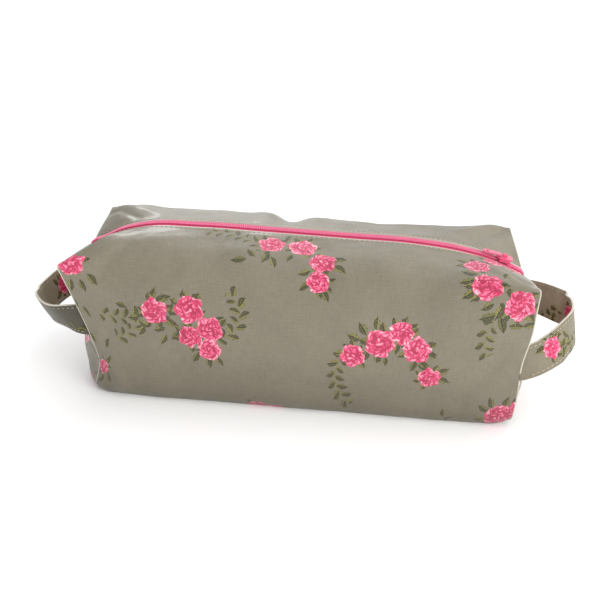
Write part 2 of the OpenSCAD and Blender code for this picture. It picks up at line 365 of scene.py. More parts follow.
def mesh_from(name, grids, flips):
    """One mesh from grids of (points, uv, {attribute: values}); a flip turns a grid's faces over."""
    verts, faces, uvs, at = [], [], [], {}
    base = 0
    for gi, (p, uv, attrs) in enumerate(grids):
        r, c = p.shape[:2]
        verts.append(p.reshape(-1, 3))
        uvs.append(uv.reshape(-1, 2))
        for key, val in attrs.items():
            at.setdefault(key, []).append(np.broadcast_to(val, (r, c)).ravel())
        q = quads(np.arange(r * c).reshape(r, c))
        if flips[gi]:
            q = q[:, ::-1]
        faces.append(q + base)
        base += r * c
    verts = np.concatenate(verts) * SCALE * 0.001
    faces, uvs = np.concatenate(faces), np.concatenate(uvs)
    me = bpy.data.meshes.new(name)
    me.from_pydata(verts.tolist(), [], faces.tolist())
    layer = me.uv_layers.new(name="flat")
    idx = np.zeros(len(me.loops), np.int32)
    me.loops.foreach_get("vertex_index", idx)
    layer.data.foreach_set("uv", (uvs[idx] * 0.001).astype(np.float32).ravel())
    for key, vals in at.items():
        a = me.attributes.new(key, "FLOAT", "POINT")
        a.data.foreach_set("value", np.concatenate(vals).astype(np.float32))
    return place_smooth(name, me)


def open_weight(p, share):
    """A weight for each point: none near the ends, its own share in the middle."""
    return smooth((126 - np.abs(p[..., 0])) / 72) * share


BODY = {-1: tube(-1), 1: tube(1)}
NAME = {-1: "front", 1: "back"}


def top_share(v):
    """The cloth's share: none on the side, all on the top, rising round the edge between them."""
    return smooth((v - 124) / 26)


def hem_uv(u, rows):
    """Flat coordinates of a folded edge: its rows go on past the edge."""
    v = EDGE_V + np.arange(len(rows))[:, None] * 0.8
    return np.stack([np.broadcast_to(u, rows.shape[:2]), np.broadcast_to(v, rows.shape[:2])], -1)


def build_cloth(side):
    p, uv = BODY[side]
    # edge: how pale the cloth is painted near the end seams and the folded edge by the zip, partly wear
    # and partly a painted highlight
    edge = np.maximum(
        np.exp(-(((HALF_U - np.abs(uv[..., 0])) / 0.9) ** 2)),
        0.9 * np.exp(-(((EDGE_V - uv[..., 1]) / 1.3) ** 2)),
    )
    grids = [(p, uv, {"edge": edge, "w": open_weight(p, top_share(uv[..., 1]))})]
    flips = [side > 0]
    rows = np.concatenate([p[-1:], hem(p[-1], p[-2], grid_normals(p)[-1] * -side)])
    # the folded edge's rows are painted pale, more along the fold: partly wear, partly a painted highlight
    shade = np.linspace(0.55, 1.1, len(rows))[:, None]
    grids.append((rows, hem_uv(uv[-1, :, 0], rows), {"edge": shade, "w": open_weight(rows, 1.0)}))
    flips.append(side > 0)
    for e in (-1, 1):
        for upper, (g, guv) in enumerate(end_patches(side, e, p)):
            # each end patch is painted pale along its seam side: partly wear, partly a painted highlight
            aa = np.linspace(0, 1, g.shape[1])[None, :]
            grids.append((g, guv, {"edge": np.exp(-((aa * 46 / 0.9) ** 2)), "w": open_weight(g, 0.0)}))
            flips.append((side > 0) == (e > 0))
            if upper:
                out = np.tile([e * 1.0, 0, 0], (len(g), 1))
                rows = np.concatenate([g[None, :, -1], hem(g[:, -1], g[:, -2], out)])
                ruv = np.swapaxes(hem_uv(guv[:, -1, 0], rows), 0, 1)
                rows = np.swapaxes(rows, 0, 1)
                # the end's folded edge is painted pale the same way: partly wear, partly a painted
                # highlight
                grids.append((rows, ruv, {"edge": 0.8, "w": open_weight(rows, 0.0)}))
                flips.append((side > 0) == (e > 0))
    return mesh_from(f"{NAME[side]}_cloth", grids, flips)


def build_lining(side):
    """The cloth's own shape, coarser and a little inside it."""
    p, uv = BODY[side]
    inner = (p - grid_normals(p) * -side * 2.2)[::3, ::3]
    inner[..., 0] *= 0.982
    inner[..., 2] = np.maximum(inner[..., 2], 1.6)
    uv = uv[::3, ::3]
    w = open_weight(inner, top_share(uv[..., 1]))
    return mesh_from(f"{NAME[side]}_lining", [(inner, uv, {"edge": 0.0, "w": w})], [side < 0])


def weigh(ob):
    """Bakes the piece's placement into its mesh and drops its attribute w; the weights it reads from w are
    not used.
    """
    w = np.zeros(len(ob.data.vertices), np.float32)
    ob.data.attributes["w"].data.foreach_get("value", w)
    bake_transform(ob)
    ob.data.attributes.remove(ob.data.attributes["w"])


cloth = {s: build_cloth(s) for s in (-1, 1)}
lining = {s: build_lining(s) for s in (-1, 1)}


# ---------------------------------------------------------------- zip
PATH_POINTS = 361


def edge_path(side):
    """Folded cloth edge, up the left end, along the top and down the right end: its line,
    direction and outward normal."""
    p, _ = BODY[side]
    left = end_patches(side, -1, p)[1][0][:, -1]
    right = end_patches(side, 1, p)[1][0][:, -1]
    line = np.concatenate([left[:-1], p[-1], right[::-1][1:]])
    soft = resample(line, PATH_POINTS)
    for _ in range(10):
        soft[1:-1] = (soft[:-2] + 2 * soft[1:-1] + soft[2:]) / 4
    t = unit(np.gradient(soft, axis=0))
    return soft, t, unit(np.stack([-t[:, 2], 0 * t[:, 0], t[:, 0]], axis=1))


PATH = {-1: edge_path(-1), 1: edge_path(1)}


def ribbon_at(side, q, depth):
    """Line beside the zip's middle at distance q, depth below the cloth edge's line."""
    line, _, n = PATH[side]
    out = line.copy()
    out[:, 1] = side * q
    return out - n * depth


# the tape's section: distance from the zip's middle, depth below the cloth edge
TAPE_PROFILE = [
    (0.3, 0.7), (0.45, 0.0), (1.3, -0.25), (2.3, 0.05), (2.7, 0.45),
    (3.6, 0.55), (4.6, 0.75), (6.2, 1.4), (9, 1.75), (12.2, 2.1),
]


def build_tape(side):
    g = np.stack([ribbon_at(side, q, d) for q, d in TAPE_PROFILE])
    s, q = np.meshgrid(np.arange(PATH_POINTS), [q for q, _ in TAPE_PROFILE])
    attrs = {"edge": 0.0, "w": open_weight(g, 1.0)}
    return mesh_from(f"{NAME[side]}_zip_tape", [(g, np.stack([s, q], -1), attrs)], [side < 0])


def capsules(name, centres, along, normal, half, wide, high, sides, weight=None):
    """Many small rounded bars: one at each centre, lying along its own direction."""
    rings = 5
    ang = np.linspace(0, math.tau, sides, endpoint=False)
    lon = np.linspace(-1, 1, rings)
    prof = np.sqrt(np.clip(1 - np.abs(lon) ** 3.0, 0, 1)) * 0.96 + 0.04
    across = np.cross(along, normal)
    v = (
        centres[:, None, None]
        + along[:, None, None] * (lon[:, None, None] * half)
        + across[:, None, None] * (np.cos(ang)[None, :, None] * wide * prof[:, None, None])
        + normal[:, None, None] * (np.sin(ang)[None, :, None] * high * prof[:, None, None])
    )
    count = len(centres)
    i = np.arange(rings * sides).reshape(rings, sides)
    nxt = np.roll(i, -1, axis=1)
    q = np.stack([i[:-1], nxt[:-1], nxt[1:], i[1:]], -1).reshape(-1, 4)
    faces = (q[None] + (np.arange(count) * rings * sides)[:, None, None]).reshape(-1, 4).tolist()
    for k in range(count):
        b = k * rings * sides
        faces.append([b + x for x in i[0][::-1]])
        faces.append([b + x for x in i[-1]])
    flat = v.reshape(-1, 3)
    me = bpy.data.meshes.new(name)
    me.from_pydata((flat * SCALE * 0.001).tolist(), [], [list(map(int, f)) for f in faces])
    if weight is not None:
        a = me.attributes.new("w", "FLOAT", "POINT")
        a.data.foreach_set("value", np.repeat(weight, rings * sides).astype(np.float32))
    return place_smooth(name, me)


def build_teeth(side):
    """One turn of the coil each 1.2 mm; the two halves mesh half a step apart."""
    step = 1.2
    s = np.arange(0.8 + (step / 2 if side > 0 else 0), PATH_POINTS - 1.5, step)
    c, t, n = (read(a, np.arange(PATH_POINTS), s) for a in PATH[side])
    c[:, 1] = side * 1.35
    c = c + n * 0.62
    along = unit(np.cross(t, n) + t * 0.18 * side)
    return capsules(f"{NAME[side]}_zip_coil", c, along, n, 1.15, 0.5, 0.62, 8, open_weight(c, 1.0))


def build_stitches(side):
    """Row of stitches beside the folded edge, along the top and down both ends."""
    p, _ = BODY[side]
    row = row_of(176.2)
    n = grid_normals(p)[row] * -side
    left = end_patches(side, -1, p)[1][0][:, -3]
    right = end_patches(side, 1, p)[1][0][:, -3]
    line = np.concatenate([left[:-2], p[row][1:-1], right[::-1][2:]])
    ends = [np.tile([e * 1.0, 0, 0], (len(left) - 2, 1)) for e in (-1, 1)]
    out = np.concatenate([ends[0], n[1:-1], ends[1]])
    s = run(line)
    q = np.arange(2, s[-1] - 2, 3.1)
    c = read(line, s, q)
    along = unit(read(line, s, q + 1) - read(line, s, q - 1))
    up = square_to(along, read(out, s, q))
    weight = open_weight(c, 1.0)
    return capsules(f"{NAME[side]}_topstitch", c + up * 0.12, along, up, 1.05, 0.26, 0.24, 6, weight)


tape = {s: build_tape(s) for s in (-1, 1)}
teeth = {s: build_teeth(s) for s in (-1, 1)}
stitch = {s: build_stitches(s) for s in (-1, 1)}


# ---------------------------------------------------------------- strap loops
# middle line of each loop, from the front seam to the back seam, and its width direction
STRAPS = {
    "left": ([
        (-124, -45.6, 53), (-136, -44.4, 52), (-148, -40.5, 51.2), (-160, -31, 50), (-167.2, -20, 49),
        (-166.6, -5, 50.4), (-160, 16, 52), (-150, 33, 51.6), (-137, 46.5, 50),
    ], [
        (0, 0.12, 1), (-0.05, -0.12, 1), (-0.12, -0.46, 1), (-0.2, -0.42, 1), (-0.3, -0.2, 1),
        (-0.2, 0.2, 1), (-0.1, 0.42, 1), (0, 0.35, 1), (0, 0, 1),
    ]),
    "right": ([
        (132, -47.2, 43.5), (141, -45.6, 46.6), (150.5, -40.5, 50.2), (160, -30, 53.4), (168, -15, 56.2),
        (168.2, -1, 57), (162.5, 15, 54.4), (152, 33, 50.5), (136, 45.4, 47),
    ], [
        (-0.04, 0.04, 1), (-0.12, 0.16, 1), (-0.2, 0.3, 1), (-0.24, 0.3, 1), (-0.12, 0.26, 1),
        (-0.1, 0.36, 1), (0.2, 0.55, 1), (0.32, 0.5, 1), (0, -0.12, 1),
    ]),
}
STRAP_HALF = 10.6
# inner half of the two plies' section, edge to edge: across and towards the pouch, -1 to 1
STRAP_FACE = [
    (-1.0, 0.12), (-0.985, 0.62), (-0.93, 0.84), (-0.8, 0.8), (-0.4, 0.86), (0, 0.9),
    (0.4, 0.86), (0.8, 0.8), (0.93, 0.84), (0.985, 0.62), (1.0, 0.12), (0.975, 0.0),
]
STRAP_PROFILE = STRAP_FACE + [(-h, -deep) for h, deep in STRAP_FACE] + STRAP_FACE[:1]


def strap_frame(name, n=121):
    """Distance along the loop, its middle line, direction, width direction and the normal
    towards the pouch."""
    pts, wid = STRAPS[name]
    k = run(np.array(pts, float))
    t = np.linspace(0, k[-1], n)
    c = spline(k, pts, t)
    tan = unit(np.gradient(c, axis=0))
    w = square_to(tan, spline(k, wid, t))
    return t, c, tan, w, np.cross(w, tan) * (-1 if name == "left" else 1)


def strap_dent(name, s, half):
    """Folds of the strap, towards the pouch, at distance s along and half across (-1 to 1)."""
    d = 0.5 * np.sin(s / 9.0 + half * 1.2) * np.exp(-((half - 0.3) ** 2))
    if name == "right":
        d = d + 2.2 * np.exp(-(((s - 66 - half * 5) / 3.2) ** 2))
        d = d - 1.8 * np.exp(-(((s - 75 - half * 8) / 5) ** 2))
        d = d - 0.9 * np.exp(-(((s - 22 + half * 6) / 5) ** 2))
    else:
        d = d + 1.3 * np.exp(-(((s - 50 - half * 3) / 3) ** 2))
    return d


def build_strap(name):
    t, c, _, w, nrm = strap_frame(name)
    around = run(np.array(STRAP_PROFILE) * (STRAP_HALF, 1.0))
    rows, uv = [], []
    for (h, deep), r in zip(STRAP_PROFILE, around):
        rows.append(c + w * h * STRAP_HALF + nrm * (deep * 0.95 + strap_dent(name, t, h)[:, None]))
        uv.append(np.stack([t + (200 if name == "left" else 0), np.full_like(t, r)], -1))
    # the strap's folded edges are painted pale: partly wear, partly a painted highlight
    edge = np.array([[1.0 if abs(h) > 0.95 else 0.0] for h, _ in STRAP_PROFILE])
    ob = mesh_from(f"{name}_strap", [(np.stack(rows), np.stack(uv), {"edge": edge})], [name == "left"])
    bm = bmesh.new()
    bm.from_mesh(ob.data)
    bmesh.ops.remove_doubles(bm, verts=bm.verts, dist=1e-6)
    bmesh.ops.holes_fill(bm, edges=[e for e in bm.edges if e.is_boundary], sides=0)
    bmesh.ops.recalc_face_normals(bm, faces=bm.faces)
    bm.to_mesh(ob.data)
    bm.free()
    return ob


def build_strap_stitches(name):
    """A row of stitches near each edge, on both faces."""
    s, *curves = strap_frame(name)
    q = np.arange(8, s[-1] - 8, 3.0)
    c, t, w, n = (read(a, s, q) for a in curves)
    centres, normals = [], []
    for h in (-0.78, 0.78):
        for face in (1, -1):
            centres.append(c + w * h * STRAP_HALF + n * (0.80 * face + strap_dent(name, q, h)[:, None]))
            normals.append(n * face)
    return capsules(
        f"{name}_strap_stitch", np.concatenate(centres), np.tile(t, (4, 1)), np.concatenate(normals),
        1.0, 0.24, 0.2, 6,
    )


strap = {s: build_strap(s) for s in ("left", "right")}
strap_stitch = {s: build_strap_stitches(s) for s in ("left", "right")}


# ---------------------------------------------------------------- materials
class Net:
    """Short way to write a node tree."""

    def __init__(self, name, roughness=0.5):
        self.mat = bpy.data.materials.new(name)
        self.mat.use_nodes = True
        self.t = self.mat.node_tree
        self.bsdf = next(n for n in self.t.nodes if n.type == "BSDF_PRINCIPLED")
        self.bsdf.inputs["Roughness"].default_value = roughness

    def node(self, kind, props=None, **ins):
        n = self.t.nodes.new("ShaderNode" + kind)
        for k, v in (props or {}).items():
            setattr(n, k, v)
        for k, v in ins.items():
            key = int(k[1:]) if k[0] == "i" and k[1:].isdigit() else k.replace("_", " ")
            self.put(n.inputs[key], v)
        return n

    def put(self, socket, v):
        if isinstance(v, bpy.types.NodeSocket):
            self.t.links.new(v, socket)
        elif v is not None:
            socket.default_value = v

    def shade(self, name, v):
        """Sets an input of the surface shader."""
        self.put(self.bsdf.inputs[name], v)

    def m(self, op, a, b=None, c=None):
        return self.node("Math", {"operation": op}, i0=a, i1=b, i2=c).outputs[0]

    def add(self, a, b):
        return self.m("ADD", a, b)

    def sub(self, a, b):
        return self.m("SUBTRACT", a, b)

    def inverse(self, a):
        return self.m("SUBTRACT", 1.0, a)

    def mul(self, a, b):
        return self.m("MULTIPLY", a, b)

    def madd(self, a, b, c):
        """a times b, plus c."""
        return self.m("MULTIPLY_ADD", a, b, c)

    def sine(self, a):
        return self.m("SINE", a)

    def abs(self, a):
        return self.m("ABSOLUTE", a)

    def floor(self, a):
        return self.m("FLOOR", a)

    def v(self, op, a, b=None, c=None):
        n = self.node("VectorMath", {"operation": op}, i0=a)
        if op == "SCALE":
            self.put(n.inputs["Scale"], b)
        else:
            self.put(n.inputs[1], b)
            self.put(n.inputs[2], c)
        return n.outputs["Value" if op in ("LENGTH", "DOT_PRODUCT", "DISTANCE") else "Vector"]

    def mix(self, f, a, b, kind="RGBA", blend="MIX"):
        props = {"data_type": kind}
        if kind == "RGBA":
            props["blend_type"] = blend
        n = self.node("Mix", props)
        # sockets of the factor, both inputs and the output
        pick = {"FLOAT": (0, 2, 3, 0), "VECTOR": (0, 4, 5, 1), "RGBA": (0, 6, 7, 2)}[kind]
        self.put(n.inputs[pick[0]], f)
        self.put(n.inputs[pick[1]], a)
        self.put(n.inputs[pick[2]], b)
        return n.outputs[pick[3]]

    def toned(self, col, tone):
        """A colour times a grey."""
        return self.mix(1.0, col, self.vec(tone, tone, tone), blend="MULTIPLY")

    def ramp(self, f, stops):
        n = self.node("ValToRGB", Fac=f)
        r = n.color_ramp
        while len(r.elements) < len(stops):
            r.elements.new(0.5)
        for e, (p, c) in zip(r.elements, stops):
            e.position, e.color = p, c
        return n.outputs[0]

    def step(self, x, lo, hi):
        """Smooth step from 0 at lo to 1 at hi."""
        n = self.node("MapRange", {"interpolation_type": "SMOOTHSTEP"})
        self.put(n.inputs[0], x)
        n.inputs[1].default_value, n.inputs[2].default_value = lo, hi
        n.inputs[3].default_value, n.inputs[4].default_value = 0, 1
        return n.outputs[0]

    def flat_mm(self):
        """Millimetres on the piece's own flat cloth."""
        uv = self.node("UVMap", {"uv_map": "flat"}).outputs[0]
        return self.v("SCALE", uv, 1000.0)

    def position(self):
        return self.node("NewGeometry").outputs["Position"]

    def weave(self, mm, warps, wefts):
        """Crossed threads, so many radians to the millimetre."""
        x, y, _ = self.xyz(mm)
        return self.mul(self.sine(self.mul(x, warps)), self.sine(self.mul(y, wefts)))

    def random(self, v):
        return self.node("TexWhiteNoise", {"noise_dimensions": "2D"}, Vector=v).outputs["Value"]

    def xyz(self, v):
        return self.node("SeparateXYZ", Vector=v).outputs

    def vec(self, x, y, z=0.0):
        return self.node("CombineXYZ", X=x, Y=y, Z=z).outputs[0]

    def turned(self, p, u, v, angle, half, wide):
        """p (with z 1) in the turned and scaled coordinates of one print item."""
        c, s = math.cos(math.radians(angle)), math.sin(math.radians(angle))
        along = self.v("DOT_PRODUCT", p, (c / half, s / half, -(u * c + v * s) / half))
        across = self.v("DOT_PRODUCT", p, (-s / wide, c / wide, (u * s - v * c) / wide))
        return self.vec(along, across)

    def noise(self, v, scale, detail=2.0, rough=0.5, out="Fac"):
        n = self.node("TexNoise", Vector=v, Scale=scale, Detail=detail, Roughness=rough)
        return n.outputs[out]

    def bump(self, h, dist, strength):
        """Surface relief; dist is its full height in metres."""
        n = self.node("Bump", Height=h, Distance=dist, Strength=strength)
        self.shade("Normal", n.outputs[0])


def srgb(*rgb):
    """Linear colour of an sRGB one."""
    shares = (c / 255 for c in rgb)
    return (*(c / 12.92 if c <= 0.04045 else ((c + 0.055) / 1.055) ** 2.4 for c in shares), 1.0)


GROUND = srgb(116, 109, 92)
LEAF = srgb(92, 88, 34)
LEAF_DARK = srgb(26, 24, 9)
ROSE_TONES = [
    (0.04, srgb(164, 16, 66)), (0.24, srgb(204, 44, 98)), (0.44, srgb(226, 88, 132)),
    (0.62, srgb(238, 146, 168)), (0.82, srgb(246, 204, 206)),
]
TAPE_TONES = [
    (0.0, srgb(214, 74, 122)), (0.2, srgb(186, 44, 88)), (0.27, srgb(190, 48, 92)),
    (0.36, srgb(236, 128, 162)), (0.7, srgb(230, 104, 146)),
]


def nearest_item(net, p, items, kind):
    """The nearest print item's own coordinates, and its seed."""
    best, local, seed = None, None, None
    for k, it in enumerate(items):
        if kind == "rose":
            u, v, r = it
            q = net.v("MULTIPLY_ADD", p, (1 / r, 1 / r, 0), (-u / r, -v / r, 0))
        else:
            q = net.turned(p, *it)
        d = net.v("LENGTH", q)
        if best is None:
            best, local, seed = d, q, 0.37
        else:
            less = net.m("LESS_THAN", d, best)
            local = net.mix(less, local, q, "VECTOR")
            seed = net.mix(less, seed, (k * 0.618) % 1 * 10, "FLOAT")
            best = net.m("MINIMUM", d, best)
    return local, seed


def rose_paint(net, q, seed):
    """Mask and colour of one rose in its own unit circle, and of the leaves that show round it."""
    s = net.vec(seed, net.mul(seed, 1.7), 0.0)
    soft = net.noise(net.v("ADD", q, s), 2.1, 2, 0.6, "Color")
    qq = net.v("MULTIPLY_ADD", net.v("SUBTRACT", soft, (0.5, 0.5, 0.5)), (0.5, 0.5, 0), q)
    x, y, _ = net.xyz(qq)
    r = net.v("LENGTH", qq)
    a = net.m("ARCTAN2", y, x)
    lobes = net.abs(net.sine(net.madd(a, 2.5, seed)))
    rim = net.madd(lobes, 0.16, 0.86)
    mask = net.inverse(net.step(net.sub(r, rim), -0.03, 0.03))

    # petals: cells in rings that turn round the heart, dark where they tuck under each other
    def twist(op):
        turn = net.m(op, net.madd(r, 1.3, a))
        return net.mul(turn, net.madd(r, 1.5, 0.25))

    ring = net.vec(twist("SINE"), twist("COSINE"), seed)
    petal = net.node("TexVoronoi", {"feature": "DISTANCE_TO_EDGE"}, Vector=ring, Scale=1.75)
    gap = net.step(petal.outputs["Distance"], 0.02, 0.26)
    cell = net.node("TexVoronoi", Vector=ring, Scale=1.75).outputs["Color"]
    own = net.xyz(cell)[0]
    spots = net.noise(net.v("ADD", net.v("SCALE", q, 2.4), s), 2.2, 3, 0.7)
    tone = net.madd(gap, 0.46, net.madd(own, 0.22, -0.12))
    tone = net.madd(net.sub(spots, 0.5), 0.9, tone)
    tone = net.madd(net.step(r, 0.55, 0.95), 0.24, tone)
    heart = net.inverse(net.step(r, 0.10, 0.55))
    swirl = net.sine(net.madd(r, 15.0, net.add(a, seed)))
    tone = net.madd(net.mul(heart, swirl), 0.30, tone)
    col = net.ramp(tone, ROSE_TONES)
    # leaves peeping out from under it
    cells = net.madd(a, 1.2732, net.mul(seed, 3.1))
    num = net.floor(cells)
    rnd = net.random(net.vec(num, seed))
    far = net.v("LENGTH", q)
    lx = net.madd(far, 2.5, -2.75)
    ly = net.mul(net.sub(net.m("FRACT", cells), 0.5), net.mul(far, 2.9))
    lm, lc = leaf_paint(net, net.vec(lx, ly), rnd)
    lm = net.mul(lm, net.m("GREATER_THAN", rnd, 0.42))
    return mask, col, lm, lc


def leaf_paint(net, q, seed):
    """Mask and colour of a pointed leaf along x from -1 to 1, half in shade, with ribs and a vein."""
    x, y, _ = net.xyz(q)
    round_edge = net.m("MAXIMUM", net.inverse(net.mul(x, x)), 0.0)
    rim = net.mul(round_edge, net.madd(x, -0.22, 0.92))
    ay = net.abs(y)
    mask = net.inverse(net.step(net.sub(ay, rim), -0.10, 0.05))
    vein = net.inverse(net.step(ay, 0.07, 0.20))
    ribs = net.sine(net.madd(x, 13.0, net.mul(ay, 6.0)))
    under = net.step(net.madd(ribs, 0.22, y), -0.05, 0.25)
    light = net.mix(net.m("FRACT", seed), LEAF, srgb(124, 118, 58))
    col = net.mix(under, light, srgb(62, 60, 24))
    veins = net.m("MAXIMUM", vein, net.step(net.madd(ribs, 0.5, net.sub(ay, rim)), 0.0, 0.42))
    return mask, net.mix(veins, col, LEAF_DARK)


def spray_paint(net, p, arcs):
    """Mask and colour of leafy stems on arcs: the nearest stem's coordinates (leaves along it,
    distance from it, distance past its end), cut into one cell for each leaf."""
    best, cell = None, None
    for k, (cu, cv, rad, a0, a1, pitch) in enumerate(arcs):
        q = net.turned(p, cu, cv, (a0 + a1) / 2, rad, rad)
        x, y, _ = net.xyz(q)
        r = net.v("LENGTH", q)
        ang = net.m("ARCTAN2", y, x)
        span = math.radians(abs(a1 - a0)) / 2
        over = net.m("MAXIMUM", net.sub(net.abs(ang), span), 0.0)
        off = net.madd(r, rad, -rad)
        miss = net.add(net.abs(off), net.mul(over, rad * 4))
        c = net.vec(net.madd(ang, rad / pitch, k * 7.3), off, net.mul(over, rad))
        if best is None:
            best, cell = miss, c
        else:
            less = net.m("LESS_THAN", miss, best)
            cell = net.mix(less, cell, c, "VECTOR")
            best = net.m("MINIMUM", miss, best)
    t, off, over = net.xyz(cell)
    # one leaf to each pitch on each side, the two sides nearly half a pitch apart
    up = net.m("GREATER_THAN", off, 0.0)
    t2 = net.madd(up, 0.45, t)
    num = net.floor(t2)
    fx = net.sub(net.m("FRACT", t2), 0.5)
    jit = net.random(net.vec(num, up))
    size = net.madd(jit, 0.4, 0.85)
    side = net.abs(off)
    lean = net.madd(side, -0.07, net.add(fx, net.mul(jit, 0.12)))
    lx = net.m("DIVIDE", net.sub(side, 3.0), net.mul(size, 2.7))
    ly = net.m("DIVIDE", lean, net.mul(size, 0.32))
    mask, col = leaf_paint(net, net.vec(lx, ly), net.mul(jit, 3.0))
    stem = net.inverse(net.step(net.add(side, over), 0.22, 0.5))
    end = net.m("LESS_THAN", over, 0.6)
    mask = net.mul(mask, end)
    col = net.mix(mask, srgb(112, 108, 58), col)
    return net.m("MAXIMUM", mask, net.mul(stem, 0.9)), col


def cloth_material(name, roses, leaves, arcs, strap_painted_light_and_shade=None):
    """Coated cloth with its print; for a strap, the last argument is how much its inner and outer ply are
    brightened and darkened, as painted light and shade.
    """
    net = Net(name, 0.42)
    mm = net.flat_mm()
    # the print's outlines waver a little
    waver = net.noise(mm, 0.35, 2, 0.5, "Color")
    p = net.v("MULTIPLY_ADD", net.v("SUBTRACT", waver, (0.5, 0.5, 0.5)), (1.6, 1.6, 0), mm)
    p = net.v("ADD", p, (0, 0, 1))
    pos = net.position()
    edge = net.node("Attribute", {"attribute_name": "edge"}).outputs["Fac"]
    # woven ground under the coating
    weave = net.weave(mm, 9.5, 8.9)
    slub = net.noise(net.v("MULTIPLY", mm, (0.14, 1.15, 1)), 1.0, 4, 0.65)
    slub2 = net.noise(net.v("MULTIPLY", mm, (1.15, 0.12, 1)), 1.0, 4, 0.65)
    tone = net.add(net.madd(net.add(slub, slub2), 0.46, 0.54), net.mul(weave, 0.03))
    tone = net.madd(net.noise(mm, 0.028, 4, 0.6), 0.40, net.sub(tone, 0.20))
    if strap_painted_light_and_shade:
        # round the strap's section, the inner ply comes first and the outer one after it; painted light
        # brightens the inner ply, painted shade darkens the left strap's outer ply
        ply = net.mix(net.step(net.xyz(mm)[1], 20.5, 23.0), *strap_painted_light_and_shade, "FLOAT")
        tone = net.mul(tone, ply)
    ground = net.toned(GROUND, tone)
    col = ground
    if arcs:
        mask, paint = spray_paint(net, p, arcs)
        col = net.mix(mask, col, paint)
    mask, paint = leaf_paint(net, *nearest_item(net, p, leaves, "leaf"))
    col = net.mix(mask, col, paint)
    mask, paint, leaf_mask, leaf_col = rose_paint(net, *nearest_item(net, p, roses, "rose"))
    col = net.mix(leaf_mask, col, leaf_col)
    col = net.mix(mask, col, paint)
    # printed ink breaks up over the threads
    grain = net.noise(mm, 2.6, 2, 0.6)
    col = net.mix(net.madd(grain, 0.2, -0.05), col, ground)
    # pale folded and stitched edges: partly worn bare thread, partly a painted highlight
    pale_wear_and_highlight = net.mul(net.step(edge, 0.35, 1.0), net.madd(net.noise(mm, 0.9, 2), 0.5, 0.5))
    col = net.mix(pale_wear_and_highlight, col, srgb(226, 222, 208))
    # painted shade: the cloth is darkened towards the base, up to 42 mm up
    low = net.inverse(net.step(net.xyz(pos)[2], 0.0, 0.042))
    col = net.mix(net.mul(low, 0.42), col, srgb(66, 59, 47))
    net.shade("Base Color", col)
    rough = net.madd(net.noise(mm, 0.09, 3), 0.16, 0.36)
    net.shade("Roughness", net.madd(weave, 0.03, rough))
    net.shade("Specular IOR Level", 0.25 if strap_painted_light_and_shade else 0.5)
    net.shade("Coat Weight", 0.1 if strap_painted_light_and_shade else 0.25)
    net.shade("Coat Roughness", 0.16)
    crinkle = net.noise(mm, 0.16, 3, 0.55)
    h = net.madd(weave, 0.035, net.madd(slub, 0.05, net.mul(crinkle, 0.55)))
    net.bump(h, 0.0011, 0.5)
    return net.mat


# print on the flat cloth: roses (u, v, radius), leaves (u, v, angle, half length, half width),
# leafy stems (arc centre u, v, radius, first angle, last angle, leaf pitch); all in mm
FRONT_ROSES = [
    (-84, 111, 8.5), (-62, 113.5, 9), (-63, 95, 7.4), (-50, 101, 8.4), (-51, 87, 7.6), (-16, 163, 8),
    (3, 163, 8.6), (16, 149, 8), (15, 135, 6.8), (38, 90, 7.4), (54, 99.5, 9), (66, 107, 7.4),
    (76, 97, 8.4), (85.5, 79, 6.8), (106, 158, 7.6), (111, 139, 8.8), (130, 129, 8.4), (118, 172, 7.2),
    (129, 172, 6.4), (131, 54, 8.6), (141, 58, 7), (-132.5, 138, 7.4), (-133, 68, 6), (-22, 45, 7),
    (-10, 43, 7), (-141, 36, 5), (-172, 30, 7), (-152, 160, 8), (-168, 150, 7.4), (158, 150, 8.6),
    (170, 162, 7.4), (162, 26, 8.4), (150, 12, 7),
]
